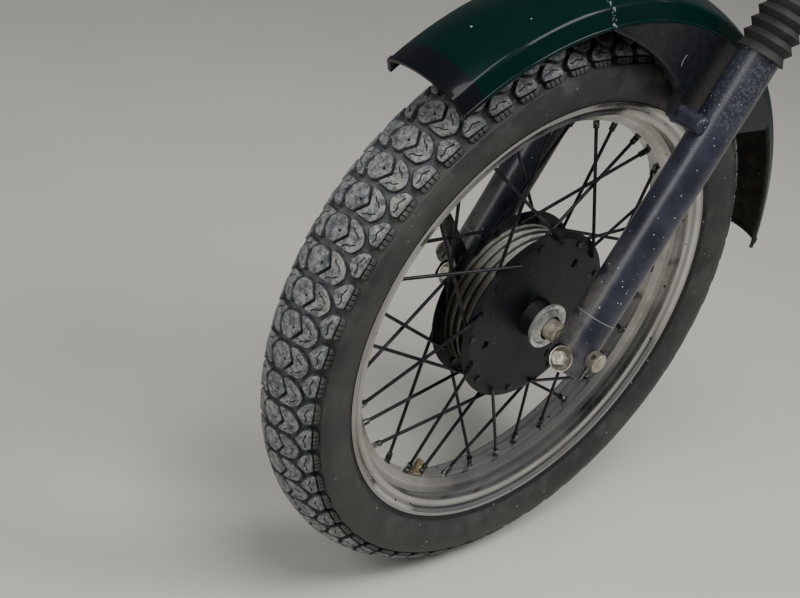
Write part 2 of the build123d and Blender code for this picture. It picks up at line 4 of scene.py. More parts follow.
import bpy
import bmesh
import numpy as np
from mathutils import Euler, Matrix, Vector


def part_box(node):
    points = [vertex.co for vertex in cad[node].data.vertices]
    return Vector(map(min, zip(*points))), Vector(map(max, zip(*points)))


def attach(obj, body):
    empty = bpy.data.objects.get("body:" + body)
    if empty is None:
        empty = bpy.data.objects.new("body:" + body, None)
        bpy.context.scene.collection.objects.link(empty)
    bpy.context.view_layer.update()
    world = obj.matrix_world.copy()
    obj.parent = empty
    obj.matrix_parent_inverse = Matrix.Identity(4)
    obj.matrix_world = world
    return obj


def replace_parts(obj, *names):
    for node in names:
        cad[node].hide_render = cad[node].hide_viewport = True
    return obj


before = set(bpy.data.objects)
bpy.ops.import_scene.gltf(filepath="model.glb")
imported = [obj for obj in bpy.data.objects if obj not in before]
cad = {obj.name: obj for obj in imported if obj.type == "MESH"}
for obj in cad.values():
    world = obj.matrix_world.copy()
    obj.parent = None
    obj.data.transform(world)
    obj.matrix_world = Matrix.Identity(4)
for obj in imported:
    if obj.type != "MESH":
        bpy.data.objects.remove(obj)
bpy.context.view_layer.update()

# Camera: stands ahead of the wheel and to its left, and looks back and down at
# the hub. It is turned a little about its own line of sight.
SENSOR = 36                # millimetres across
LENS = 61.38               # focal length in millimetres
CAMERA_PLACE = Vector((0.9645, 0.7610, 0.7075))          # from the hub
CAMERA_TURN = (58.544, -10.399, 140.190)                 # degrees
tyre_low, tyre_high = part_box("tyre")
AXLE = (tyre_low + tyre_high) / 2
camera = bpy.data.objects.new("camera", bpy.data.cameras.new("camera"))
camera.data.sensor_width = SENSOR
camera.data.lens = LENS
camera.location = AXLE + CAMERA_PLACE
camera.rotation_euler = Euler([math.radians(turn) for turn in CAMERA_TURN])
bpy.context.scene.collection.objects.link(camera)
bpy.context.scene.camera = camera

# Tyre: block-pattern road tyre of old grey rubber, moulded whole: a smooth
# sidewall, and a worn tread of hexagons, winged blocks and shoulder blocks.
FORWARD, LEFT, UP = Vector((1, 0, 0)), Vector((0, 1, 0)), Vector((0, 0, 1))
WHEEL_AXIS = -LEFT


class Amount:
    """A number that varies over a surface. Sums with it add Math nodes."""

    def __init__(self, finish, socket):
        self.finish = finish
        self.socket = socket

    def math(self, operation, first, second):
        node = self.finish.add("ShaderNodeMath", {"operation": operation}, {0: first, 1: second})
        return Amount(self.finish, node.outputs[0])

    def __add__(self, other):
        return self.math("ADD", self, other)

    def __sub__(self, other):
        return self.math("SUBTRACT", self, other)

    def __rsub__(self, other):
        return self.math("SUBTRACT", other, self)

    def __mul__(self, other):
        return self.math("MULTIPLY", self, other)

    __radd__, __rmul__ = __add__, __mul__

    def rise(self, low, high):
        """0 below low, 1 above high, smooth between. With high below low it falls."""
        start, end = (1.0, 0.0) if high < low else (0.0, 1.0)
        sockets = {"Value": self, "From Min": min(low, high), "From Max": max(low, high)}
        sockets.update({"To Min": start, "To Max": end})
        node = self.finish.add("ShaderNodeMapRange", {"interpolation_type": "SMOOTHSTEP"}, sockets)
        return Amount(self.finish, node.outputs["Result"])

    def band(self, low, high, soft):
        """1 between low and high, 0 outside."""
        return self.rise(low - soft, low) * self.rise(high + soft, high)


class Finish:
    """A material being mixed from procedural nodes. Places are in metres from the axle."""

    def __init__(self, name):
        self.material = bpy.data.materials.new(name)
        self.material.use_nodes = True
        self.tree = self.material.node_tree
        self.shader = self.tree.nodes["Principled BSDF"]
        place = self.add("ShaderNodeTexCoord", {}, {}).outputs["Object"]
        self.spot = self.vector("SUBTRACT", place, AXLE).outputs["Vector"]

    def plug(self, socket, value):
        if isinstance(value, Amount):
            value = value.socket
        if isinstance(value, bpy.types.NodeSocket):
            self.tree.links.new(value, socket)
        else:
            socket.default_value = value

    def add(self, kind, settings, sockets):
        node = self.tree.nodes.new(kind)
        for name, value in settings.items():
            setattr(node, name, value)
        for name, value in sockets.items():
            self.plug(node.inputs[name], value)
        return node

    def vector(self, operation, first, second=(0, 0, 0)):
        return self.add("ShaderNodeVectorMath", {"operation": operation}, {0: first, 1: second})

    def along(self, direction):
        """Distance along a direction."""
        return Amount(self, self.vector("DOT_PRODUCT", self.spot, direction).outputs["Value"])

    def outward(self):
        """The way straight out from the wheel's axis."""
        return self.vector("MULTIPLY", self.spot, (1, 0, 1)).outputs["Vector"]

    def radius(self):
        return Amount(self, self.vector("LENGTH", self.outward()).outputs["Value"])

    def facing(self, direction):
        """How far the surface faces a direction: 1 straight at it, 0 sideways."""
        normal = self.add("ShaderNodeNewGeometry", {}, {}).outputs["Normal"]
        straight = self.vector("NORMALIZE", direction).outputs["Vector"]
        return Amount(self, self.vector("DOT_PRODUCT", normal, straight).outputs["Value"])

    def noise(self, scale, detail=4.0, rough=0.55, stretch=(1, 1, 1)):
        spread = self.vector("MULTIPLY", self.spot, stretch).outputs["Vector"]
        sockets = {"Vector": spread, "Scale": scale, "Detail": detail, "Roughness": rough}
        return Amount(self, self.add("ShaderNodeTexNoise", {}, sockets).outputs["Fac"])

    def rolled(self, scale):
        """Noise in even bands round the wheel, as rolling and polishing leave."""
        across = self.vector("DOT_PRODUCT", self.spot, LEFT).outputs["Value"]
        bands = self.add("ShaderNodeCombineXYZ", {}, {"X": self.radius(), "Y": across})
        sockets = {"Vector": bands.outputs["Vector"], "Scale": scale, "Detail": 3.0}
        return Amount(self, self.add("ShaderNodeTexNoise", {}, sockets).outputs["Fac"])

    def specks(self, scale, size, chance):
        """Scattered round chips: 1 inside a chip. Only some cells of the pattern have one."""
        cells = self.add("ShaderNodeTexVoronoi", {}, {"Vector": self.spot, "Scale": scale})
        pick = self.add("ShaderNodeSeparateColor", {}, {0: cells.outputs["Color"]})
        near = Amount(self, cells.outputs["Distance"]).rise(size, size * 0.7)
        return near * Amount(self, pick.outputs[0]).rise(1 - chance, 1 - chance + 0.01)

    def marked(self, name):
        """The number that the mesh carries under a name."""
        return Amount(self, self.add("ShaderNodeAttribute", {"attribute_name": name}, {}).outputs["Fac"])

    def blend(self, share, first, second):
        """Colour that goes from the first to the second as share goes from 0 to 1."""
        sockets = {0: share, 6: self.colour(first), 7: self.colour(second)}
        return self.add("ShaderNodeMix", {"data_type": "RGBA"}, sockets).outputs[2]

    def colour(self, value):
        """A red, green and blue as a socket takes them. Anything else stays as it is."""
        return (*value, 1.0) if isinstance(value, tuple) and len(value) == 3 else value

    def grain(self, height, distance, strength):
        """Relief in the shading alone: height times a distance in metres."""
        bump = self.add("ShaderNodeBump", {}, {"Height": height, "Distance": distance, "Strength": strength})
        self.plug(self.shader.inputs["Normal"], bump.outputs["Normal"])

    def give(self, **values):
        """Sets the shader's own sockets. Base_Color stands for Base Color, and so on."""
        for name, value in values.items():
            self.plug(self.shader.inputs[name.replace("_", " ")], self.colour(value))
        return self.material


DEPTH = "depth"            # millimetres below the worn face of the tread
SIDEWALL_BLACK = (0.017, 0.018, 0.017)
SIDEWALL_GREY = (0.030, 0.031, 0.029)
SIDEWALL_DUST = (0.088, 0.086, 0.078)
TREAD_DARK = (0.080, 0.085, 0.091)
TREAD_PALE = (0.270, 0.281, 0.287)
TREAD_DUST = (0.35, 0.33, 0.28)
BLOCK_SIDE_AND_SHADE = (0.032, 0.035, 0.039)
GROOVE_FLOOR = (0.118, 0.125, 0.131)
BEAD_SHADOW = (0.006, 0.006, 0.006)
CRUMB = (0.30, 0.28, 0.23)
PAINTED_GLINT = (0.44, 0.45, 0.45)

rubber = Finish("tyre_rubber")
from_axle = rubber.radius()
depth = rubber.marked(DEPTH)
cloud = rubber.noise(16, 6, 0.62)
fine = rubber.noise(420, 4, 0.65)
coarse = rubber.noise(150, 5, 0.7)
on_tread = from_axle.rise(0.287, 0.296)
dust = (cloud + rubber.noise(52, 5, 0.65) * 0.8).rise(0.86, 1.06)
sidewall = rubber.blend(cloud.rise(0.35, 0.65), SIDEWALL_BLACK, SIDEWALL_GREY)
sidewall = rubber.blend(dust * 0.36, sidewall, SIDEWALL_DUST)
tread = rubber.blend((coarse + fine * 0.5).rise(0.61, 0.91), TREAD_DARK, TREAD_PALE)
tread = rubber.blend((cloud + coarse * 0.7).rise(0.91, 1.02) * 0.5, tread, TREAD_DUST)
# The blocks' walls go dark below the worn face: the rubber's own darker unworn colour, with painted shade
# down in the grooves and sipes.
tread = rubber.blend(depth.rise(0.5, 1.6) * 0.85, tread, BLOCK_SIDE_AND_SHADE)
tread = rubber.blend(depth.rise(4.0, 5.6) * 0.9, tread, GROOVE_FLOOR)
tone = rubber.blend(on_tread, sidewall, tread)
# Painted shadow: near-black rubber where the bead meets the rim.
tone = rubber.blend(from_axle.rise(0.2485, 0.2465), tone, BEAD_SHADOW)
tone = rubber.blend(rubber.specks(170, 0.20, 0.05) * 0.7, tone, CRUMB)
# Painted highlights: small pale glints on the block tops.
painted_glints = rubber.specks(360, 0.34, 0.22) * on_tread * depth.rise(1.5, 0.2)
tone = rubber.blend(painted_glints * 0.6, tone, PAINTED_GLINT)
rubber.grain(fine * (0.4 + 1.4 * on_tread) + coarse * 2.4 * on_tread + cloud, 0.0016, 0.75)
tyre_rubber = rubber.give(Base_Color=tone, Roughness=0.5 + 0.25 * dust, IOR=1.45)

# The tyre's section in millimetres, (radius, side). Its outside runs from the crown to the
# rim's left flange, in arcs through three points each.
SECTION = (
    (310.0, 0.0), (308.9, 11.0), (305.5, 22.0),
    (294.0, 37.0), (274.0, 44.0),
    (260.0, 41.4), (245.5, 35.5),
)
ARC_STEPS = (16, 24, 16)
# Its inside runs from the rim's right flange down round the bead, then up the hollow to the crown.
HOLLOW = [
    (242.9, -33.4), (242.9, -30.0), (233.5, -26.8), (229.2, -26.8), (229.2, -15.2), (240.2, -18.2),
    (260, -35), (283, -35), (290, -20), (294, 0),
]
PITCHES = 60               # blocks of a kind round the tyre
GROOVE = 6.0               # depth of the grooves
UNROLLED_R = 305.0         # radius at which the tread's outlines have their true length


def arc_through(a, b, c, count):
    """Points on the circle through three points, from the first to the last."""
    ax, ay, bx, by, cx, cy = *a, *b, *c
    d = 2 * (ax * (by - cy) + bx * (cy - ay) + cx * (ay - by))
    sa, sb, sc = ax * ax + ay * ay, bx * bx + by * by, cx * cx + cy * cy
    ox = (sa * (by - cy) + sb * (cy - ay) + sc * (ay - by)) / d
    oy = (sa * (cx - bx) + sb * (ax - cx) + sc * (bx - ax)) / d
    bend = math.hypot(ax - ox, ay - oy)
    first, last = math.atan2(ay - oy, ax - ox), math.atan2(cy - oy, cx - ox)
    turn = (last - first + math.pi) % (2 * math.pi) - math.pi
    angles = [first + turn * i / count for i in range(count + 1)]
    return [(ox + bend * math.cos(t), oy + bend * math.sin(t)) for t in angles]


arcs = [arc_through(*SECTION[2 * i:2 * i + 3], steps) for i, steps in enumerate(ARC_STEPS)]
half = np.array(arcs[0] + arcs[1][1:] + arcs[2][1:])
reach = np.concatenate([[0], np.cumsum(np.hypot(*np.diff(half, axis=0).T))])


def on_half(v):
    """(radius, side) on the left half of the section, v mm round it from the crown."""
    return np.array([np.interp(v, reach, half[:, 0]), np.interp(v, reach, half[:, 1])])


def on_section(v, h):
    """(radius, side) of a place v mm round the section, negative on the right, h mm proud."""
    side = 1 if v >= 0 else -1
    v = abs(v)
    r, y = on_half(v)
    after = on_half(v + 1)
    before = on_half(v - 1) if v >= 1 else after * (1, -1)
    tangent = (after - before) / math.hypot(*(after - before))
    return r + tangent[1] * h, side * (y - tangent[0] * h)


def on_tyre(u, v, h):
    """Point at u mm round the tyre from straight ahead and v mm round its section."""
    angle = u / UNROLLED_R
    r, y = on_section(v, h)
    return AXLE + (FORWARD * (r * math.cos(angle)) + UP * (r * math.sin(angle)) + LEFT * y) / 1000


SHARP = math.radians(35)   # edges that turn more than this aren't smoothed


def piece(name, points, faces, body, material, depths=None):
    """A mesh made of points in metres, riding on a body. Depths are a number for each point."""
    mesh = bpy.data.meshes.new(name)
    mesh.from_pydata([tuple(p) for p in points], [], faces)
    mesh.materials.append(material)
    mesh.shade_smooth()
    mesh.set_sharp_from_angle(angle=SHARP)
    if depths:
        mesh.attributes.new(DEPTH, "FLOAT", "POINT").data.foreach_set("value", depths)
    made = bpy.data.objects.new(name, mesh)
    bpy.context.scene.collection.objects.link(made)
    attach(made, body)
    return made


def lathe(profile, origin, axis, ahead, steps):
    """Points and faces of a closed ring of (radius, height) in millimetres, turned about an axis."""
    across = axis.cross(ahead)
    points = []
    for step in range(steps):
        angle = math.tau * step / steps
        out = ahead * math.cos(angle) + across * math.sin(angle)
        points += [origin + (out * r + axis * h) / 1000 for r, h in profile]
    rows = len(profile)
    faces = []
    for step in range(steps):
        a, b = step * rows, (step + 1) % steps * rows
        for row in range(rows):
            after = (row + 1) % rows
            faces.append((a + row, b + row, b + after, a + after))
    return points, faces


CARCASS_STEPS = 240
SIDEWALL_STEPS = 22
FLOOR_STEPS = 12
SMOOTH_FROM = 53.0         # the smooth sidewall begins this far round from the crown
GROOVE_TO = 44.0           # and the floor of the grooves ends here
RAMP = [(52.4, -0.6), (50.6, -2.2), (48.6, -4.6)]        # what joins them, (round, proud)
skin = [(v, 0.0) for v in np.linspace(reach[-1], SMOOTH_FROM, SIDEWALL_STEPS)]
skin += RAMP + [(v, -GROOVE) for v in np.linspace(GROOVE_TO, 0, FLOOR_STEPS)]
skin += [(-v, h) for v, h in skin[-2::-1]]
lining = HOLLOW + [(r, -y) for r, y in HOLLOW[-2::-1]]
ring = [on_section(v, h) for v, h in skin] + lining
depths = [-h for v, h in skin] + [0.0] * len(lining)
points, faces = lathe([(r, -y) for r, y in ring], AXLE, WHEEL_AXIS, FORWARD, CARCASS_STEPS)
carcass = piece("tyre_carcass", points, faces, "wheel", tyre_rubber, depths * CARCASS_STEPS)
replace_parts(carcass, "tyre")

# Outlines of the blocks, (along, across) in millimetres from the middle of a pitch.
HEXAGON = [
    (13.3, 6.2), (1.2, 14.4), (-11.4, 5.6), (-12.2, 0.0), (-11.2, -4.0), (-4.7, -10.8), (6.0, -10.8),
    (10.8, -7.0), (13.6, 0.0),
]
WINGED = [
    (14.4, 10.4), (15.6, 16.0), (12.8, 23.2), (7.0, 30.0), (-0.4, 32.2), (-6.0, 30.0), (-10.8, 26.4),
    (-11.6, 20.0), (-11.4, 13.5), (-11.0, 9.4), (0.6, 17.4),
]
SHOULDER_BLOCK = [
    (12.6, 30.4), (17.2, 28.8), (23.0, 32.6), (27.4, 36.4), (28.6, 41.0), (28.0, 44.6), (16.7, 44.5),
    (5.3, 43.4), (4.2, 38.8), (5.2, 36.0), (8.6, 33.4),
]
OUTER_BAR = [(28.0, 46.0), (26.6, 50.6), (21.0, 51.4), (9.0, 51.2), (5.6, 50.0), (5.2, 45.6)]
WING_SIPES = [
    [(9.8, 17.2), (7.0, 19.8), (6.2, 23.0), (2.7, 26.0)],
    [(-9.4, 16.6), (-6.5, 18.8), (-5.7, 22.8), (-2.4, 26.2)],
]
SHOULDER_SIPE = [[(7.0, 38.0), (11.2, 38.6), (16.3, 36.6), (24.0, 39.1)]]
BAR_SIPES = [[(u, 44.0), (u + 0.8, 53.0)] for u in (10.0, 15.5, 21.0)]
PIT_PLACE = (0.5, 6.7)
PIT_R = 1.5
PIT_SIDES = 8
pit_turns = np.linspace(0, math.tau, PIT_SIDES, endpoint=False)
pit = [(PIT_PLACE[0] + PIT_R * math.cos(t), PIT_PLACE[1] + PIT_R * math.sin(t)) for t in pit_turns]
BLOCKS = (
    # outline, sipes as lines, holes as outlines, both sides
    (HEXAGON, [], [pit], False),
    (WINGED, WING_SIPES, [], True),
    (SHOULDER_BLOCK, SHOULDER_SIPE, [], True),
    (OUTER_BAR, BAR_SIPES, [], True),
)
SIPE_HALF_W = 0.6
SIPE_DEPTH = 3.0           # of sipes and holes
KNIFE_TOP = 1.0            # what cuts a sipe stands this far out of the block
FACET = 5.0                # a block is cut across this often, so that it bends round the tyre
WIDEST = 60.0              # no block reaches further from the crown
DRAFT = 1.7                # how far a block's foot stands out beyond its top
ROOT = 1.5                 # how far the foot goes into the carcass
CORNER = 1.1               # what a cut corner takes off each side
CORNER_SHARE = 0.3         # and the most of a short side that it takes
EDGE = ((-2.0, -0.4), (-0.8, 0.0), (-0.2, 0.3), (0.0, 0.7))     # height and how far in, up the worn edge


def signed_area(ring):
    """Area inside a ring, negative where it runs clockwise."""
    return float(np.sum(ring[:, 0] * np.roll(ring[:, 1], -1) - np.roll(ring[:, 0], -1) * ring[:, 1])) / 2


def moulded(outline):
    """Outline that runs anticlockwise, its corners cut."""
    ring = np.array(outline, float)
    if signed_area(ring) < 0:
        ring = ring[::-1]
    edge = np.roll(ring, -1, axis=0) - ring
    length = np.hypot(*edge.T)[:, None]
    cut = np.minimum(CORNER, CORNER_SHARE * length) / length
    return np.stack([ring + edge * cut, ring + edge * (1 - cut)], 1).reshape(-1, 2)


def drawn_in(ring, distance):
    """The ring moved inward."""
    way = np.roll(ring, -1, axis=0) - np.roll(ring, 1, axis=0)
    way = way / np.hypot(*way.T)[:, None]
    return ring + np.stack([-way[:, 1], way[:, 0]], 1) * distance


def prism(rings):
    """Object made of equal rings of points, capped at both ends."""
    made = bmesh.new()
    rows = [[made.verts.new(p) for p in ring] for ring in rings]
    for low, high in zip(rows, rows[1:]):
        for i in range(len(low)):
            j = (i + 1) % len(low)
            made.faces.new((low[i], low[j], high[j], high[i]))
    made.faces.new(rows[0][::-1])
    made.faces.new(rows[-1])
    bmesh.ops.recalc_face_normals(made, faces=made.faces)
    mesh = bpy.data.meshes.new("prism")
    made.to_mesh(mesh)
    made.free()
    thing = bpy.data.objects.new("prism", mesh)
    bpy.context.scene.collection.objects.link(thing)
    return thing


def carve(body, knives):
    """Cuts each knife out of the body."""
    for knife in knives:
        cut = body.modifiers.new("cut", "BOOLEAN")
        cut.object = knife
        cut.operation = "DIFFERENCE"
        cut.solver = "EXACT"
        bpy.context.view_layer.update()
        seen = body.evaluated_get(bpy.context.evaluated_depsgraph_get())
        shaped = bpy.data.meshes.new_from_object(seen)
        body.modifiers.clear()
        body.data = shaped
        bpy.data.objects.remove(knife)


def sipe_outline(line):
    """Narrow outline round a sipe's middle line."""
    way = np.gradient(line, axis=0)
    beside = np.stack([-way[:, 1], way[:, 0]], 1) / np.hypot(*way.T)[:, None] * SIPE_HALF_W
    return np.concatenate([line + beside, (line - beside)[::-1]])


def block(outline, sipes, holes):
    """One block in flat millimetres, with its sipes and holes cut: points and faces."""
    ring = moulded(outline)
    rings = [[(*p, -GROOVE - ROOT) for p in drawn_in(ring, -DRAFT)]]
    rings += [[(*p, height) for p in drawn_in(ring, inward)] for height, inward in EDGE]
    body = prism(rings)
    cuts = holes + [sipe_outline(np.array(sipe)) for sipe in sipes]
    carve(body, [prism([[(*p, height) for p in cut] for height in (-SIPE_DEPTH, KNIFE_TOP)]) for cut in cuts])
    made = bmesh.new()
    made.from_mesh(body.data)
    bpy.data.objects.remove(body)
    for across in np.arange(-WIDEST, WIDEST, FACET):
        everything = made.verts[:] + made.edges[:] + made.faces[:]
        bmesh.ops.bisect_plane(made, geom=everything, plane_co=(0, across, 0), plane_no=(0, 1, 0))
    made.verts.index_update()
    points = [tuple(v.co) for v in made.verts]
    faces = [tuple(v.index for v in f.verts) for f in made.faces]
    made.free()
    return points, faces


PHASE = 4.9                # degrees of the first hexagon above straight ahead
SUNK = 0.35                # most that a block is worn below its neighbours
TILT = 0.012               # most that its top leans, as a slope
wear = random.Random(7)
points, faces, depths = [], [], []
for outline, sipes, holes, both in BLOCKS:
    block_points, block_faces = block(outline, sipes, holes)
    for pitch in range(PITCHES):
        middle = UNROLLED_R * math.radians(PHASE + pitch * 360 / PITCHES)
        for side in (1, -1) if both else (1,):
            sunk = wear.uniform(-SUNK, 0.0)
            tilt = wear.uniform(-TILT, TILT)
            base = len(points)
            for u, v, h in block_points:
                points.append(on_tyre(middle + side * u, side * v, h + sunk + tilt * u))
                depths.append(-h)
            faces += [tuple(base + i for i in face) for face in block_faces]
piece("tyre_tread", points, faces, "wheel", tyre_rubber, depths)

# Rim: rolled steel with two flanges and a well, under bright chrome that is
# marked in places and dulled by grime in the well.
CHROME_DULL = (0.27, 0.27, 0.268)
CHROME_BRIGHT = (0.60, 0.595, 0.58)
GRIME = (0.15, 0.13, 0.10)
RIM_PIT = (0.03, 0.025, 0.02)


def paint(material, *names):
    """Gives CAD nodes a better material."""
    for name in names:
        cad[name].data.materials.clear()
        cad[name].data.materials.append(material)


chrome = Finish("worn_chrome")
smear = chrome.noise(14, 5, 0.55)
rolled = chrome.rolled(150)
in_well = chrome.radius().rise(0.238, 0.216)
grime = (smear + rolled * 0.5 + in_well * 0.10).rise(0.58, 1.12)
tone = chrome.blend(rolled.rise(0.40, 0.62), CHROME_DULL, CHROME_BRIGHT)
tone = chrome.blend(grime * 0.7, tone, GRIME)
pits = chrome.specks(120, 0.22, 0.05)
tone = chrome.blend(pits, tone, RIM_PIT)
chrome.grain(chrome.noise(420, 2) + smear, 0.0002, 0.08)
haze = chrome.radius().rise(0.232, 0.224)
roughness = 0.06 + 0.08 * haze + 0.15 * grime + 0.3 * pits
worn_chrome = chrome.give(Base_Color=tone, Metallic=1 - 0.35 * grime, Roughness=roughness)
paint(worn_chrome, "rim")

# Hub: cast drum with turned fins, gone bright where it is rubbed, between two
# pressed discs under satin black paint. The drum is painted darker and browner
# below its top, partly dirt and partly shade, and its fins' sides with shade.
DRUM_BRIGHT = (0.80, 0.79, 0.74)
DRUM_DULL = (0.50, 0.49, 0.43)
DRUM_DIRT_AND_SHADE = (0.080, 0.070, 0.042)
FIN_SHADE = (0.022, 0.020, 0.016)
FIN_FLANK = (0.0778, 0.0812)           # radii between which the fins' sides are painted with shade
drum = Finish("weathered_alloy")
flakes = drum.noise(130, 4, 0.65, (1, 3, 1))
tone = drum.blend(flakes.rise(0.42, 0.6), DRUM_BRIGHT, DRUM_DULL)
# Darker and browner below the top: dirt, with painted shade.
below_top_dirt_and_shade = (drum.along(UP) + flakes * 0.06).rise(0.112, 0.068)
tone = drum.blend(below_top_dirt_and_shade * 0.9, tone, DRUM_DIRT_AND_SHADE)
# Painted shade on the fins' sides, between the fins.
tone = drum.blend(drum.radius().band(*FIN_FLANK, 0.0006) * 0.9, tone, FIN_SHADE)
drum.grain(flakes + drum.noise(700, 2) * 0.4, 0.0005, 0.5)
weathered_alloy = drum.give(Base_Color=tone, Metallic=0.55, Roughness=0.42)
paint(weathered_alloy, "hub_drum")

DISC_BLACK = (0.0035, 0.0045, 0.0060)
DISC_FILM = (0.0185, 0.0205, 0.0235)
DISC_CHIP = (0.16, 0.17, 0.18)
disc = Finish("satin_black")
streaks = disc.noise(42, 5, 0.6, (1, 1, 0.10))
film = disc.along(UP).rise(0.05, -0.07) * 0.4 + streaks.rise(0.50, 0.62) * 0.7
tone = disc.blend(film * 0.8, DISC_BLACK, DISC_FILM)
tone = disc.blend(disc.specks(170, 0.16, 0.10) * 0.7, tone, DISC_CHIP)
disc.grain(disc.noise(300, 3) + streaks, 0.0003, 0.3)
satin_black = disc.give(Base_Color=tone, Roughness=0.40 + 0.2 * film, Specular_IOR_Level=0.22)
paint(satin_black, "hub_disc_l", "hub_disc_r")

# Spokes and nipples: steel wire, laced in crossing pairs, and square-cut
# nipples, dark with old lacquer that is worn off the nipples' edges.
WIRE_BLACK = (0.007, 0.007, 0.010)
WIRE_TARNISH = (0.034, 0.032, 0.034)
NIPPLE_BLACK = (0.020, 0.020, 0.022)
NIPPLE_BARE = (0.34, 0.34, 0.32)
wire = Finish("dark_wire")
tone = wire.blend(wire.noise(60, 4).rise(0.45, 0.75), WIRE_BLACK, WIRE_TARNISH)
wire.grain(wire.noise(500, 2), 0.0002, 0.3)
dark_wire = wire.give(Base_Color=tone, Metallic=0.2, Roughness=0.38, Specular_IOR_Level=0.3)
paint(dark_wire, "spokes_l", "spokes_r")

nipple = Finish("nipple_steel")
tone = nipple.blend(nipple.noise(240, 3).rise(0.5, 0.66), NIPPLE_BLACK, NIPPLE_BARE)
nipple_steel = nipple.give(Base_Color=tone, Metallic=0.6, Roughness=0.30)
paint(nipple_steel, "nipples")

# Valve: brass stem through the rim's well, held by a nut and closed by a cap.
# The brass has gone brown and dull in spots.
BRASS = (0.40, 0.34, 0.20)
BRASS_SPOT = (0.14, 0.12, 0.08)
brass = Finish("tarnished_brass")
spots = brass.noise(300, 4).rise(0.4, 0.7)
tone = brass.blend(spots, BRASS, BRASS_SPOT)
tarnished_brass = brass.give(Base_Color=tone, Metallic=0.85, Roughness=0.32 + 0.25 * spots)
paint(tarnished_brass, "valve", "valve_nut")

# Dust cap: dished alloy cover over the bearing on the left of the hub. It is
# pressed in, and its face has dulled in patches.
CAP_BRIGHT = (0.64, 0.65, 0.63)
CAP_DULL = (0.34, 0.34, 0.315)
cap = Finish("dull_alloy")
patches = cap.noise(90, 5, 0.6)
tone = cap.blend(patches.rise(0.38, 0.64), CAP_BRIGHT, CAP_DULL)
cap.grain(cap.noise(600, 3) + patches, 0.0002, 0.4)
dull_alloy = cap.give(Base_Color=tone, Metallic=0.7, Roughness=0.28 + 0.2 * patches)
paint(dull_alloy, "dust_cap")

# Axle: turned steel spindle put in from the left, its head drilled across for
# a bar, dusty with a plain spacer on each side of the hub.
STEEL_PALE = (0.44, 0.405, 0.325)
STEEL_DUSTY = (0.21, 0.19, 0.148)
HEAD_DIRT = (0.08, 0.072, 0.06)
HEAD_FROM = (0.106, 0.107)             # how far left the head begins
spindle = Finish("dusty_steel")
crust = spindle.noise(120, 5, 0.65)
tone = spindle.blend(crust.rise(0.38, 0.62), STEEL_PALE, STEEL_DUSTY)
round_head = spindle.along(LEFT).rise(*HEAD_FROM) * spindle.facing(LEFT).rise(0.5, 0.2)
tone = spindle.blend(round_head * 0.7, tone, HEAD_DIRT)
spindle.grain(crust, 0.0006, 0.5)
dusty_steel = spindle.give(Base_Color=tone, Metallic=0.35, Roughness=0.45)
paint(dusty_steel, "spacer_l", "spacer_r")

# The spindle from its right end to its head, (side, radius) in millimetres.
SPINDLE = (
    (-123.5, 6.5), (-122.5, 7.5), (107.5, 7.5),
    (107.5, 9.3), (108.2, 10.0), (117.6, 10.0), (118.5, 9.0),
)
CROSS_HOLE_R = 3.2
CROSS_HOLE_SIDE = 113.0                # left of the wheel's middle plane
CROSS_HOLE_LEAN = math.radians(42)     # ahead of straight up
DRILL_REACH = 12                       # above and below the spindle's axis
SEGMENTS = 32


def circle(middle, first, second, r):
    """Points round a place, in the plane of two directions."""
    turns = np.linspace(0, math.tau, SEGMENTS, endpoint=False)
    return [tuple(middle + (first * math.cos(t) + second * math.sin(t)) * r) for t in turns]


turned = prism([circle(LEFT * y, FORWARD, UP, r) for y, r in SPINDLE])
bore = FORWARD * math.sin(CROSS_HOLE_LEAN) + UP * math.cos(CROSS_HOLE_LEAN)
ends = [LEFT * CROSS_HOLE_SIDE + bore * height for height in (-DRILL_REACH, DRILL_REACH)]
carve(turned, [prism([circle(end, LEFT, bore.cross(LEFT), CROSS_HOLE_R) for end in ends])])
points = [AXLE + v.co / 1000 for v in turned.data.vertices]
faces = [tuple(face.vertices) for face in turned.data.polygons]
bpy.data.objects.remove(turned)
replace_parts(piece("axle_spindle", points, faces, "fork", dusty_steel), "axle")

# Brake side: cast plate, cam and lever on the right of the hub, held by the
# axle's nut, with old grease and dirt on them. The lugs' bolts are as dirty.
GREASE_PALE = (0.100, 0.092, 0.075)
GREASE_DARK = (0.030, 0.028, 0.024)
casting = Finish("grimy_steel")
grease = casting.noise(90, 5, 0.65)
tone = casting.blend(grease.rise(0.38, 0.62), GREASE_PALE, GREASE_DARK)
casting.grain(grease, 0.0008, 0.5)
grimy_steel = casting.give(Base_Color=tone, Metallic=0.35, Roughness=0.5)
paint(grimy_steel, "brake_cam", "brake_lever", "brake_plate", "axle_nut", "lug_bolt_l", "lug_bolt_r")

# Pinch bolts: hexagon heads on thick washers with a raised rim, in yellowed
# zinc, one ahead of each foot. They clamp the foot round the axle.
ZINC_PALE = (0.86, 0.83, 0.74)
ZINC_YELLOW = (0.50, 0.47, 0.38)
WASHER_PALE = (0.24, 0.222, 0.172)
WASHER_DARK = (0.11, 0.10, 0.075)
bolt = Finish("yellowed_zinc")
yellowing = bolt.noise(260, 4, 0.6)
tone = bolt.blend(yellowing.rise(0.40, 0.62), ZINC_PALE, ZINC_YELLOW)
bolt.grain(yellowing, 0.0003, 0.4)
yellowed_zinc = bolt.give(Base_Color=tone, Metallic=0.35, Roughness=0.34)
paint(yellowed_zinc, "pinch_bolt_l", "pinch_bolt_r")

washer = Finish("dusty_zinc")
dusting = washer.noise(200, 5, 0.65)
tone = washer.blend(dusting.rise(0.38, 0.62), WASHER_PALE, WASHER_DARK)
washer.grain(dusting, 0.0005, 0.5)
dusty_zinc = washer.give(Base_Color=tone, Metallic=0.2, Roughness=0.5)
paint(dusty_zinc, "pinch_washer_l", "pinch_washer_r")

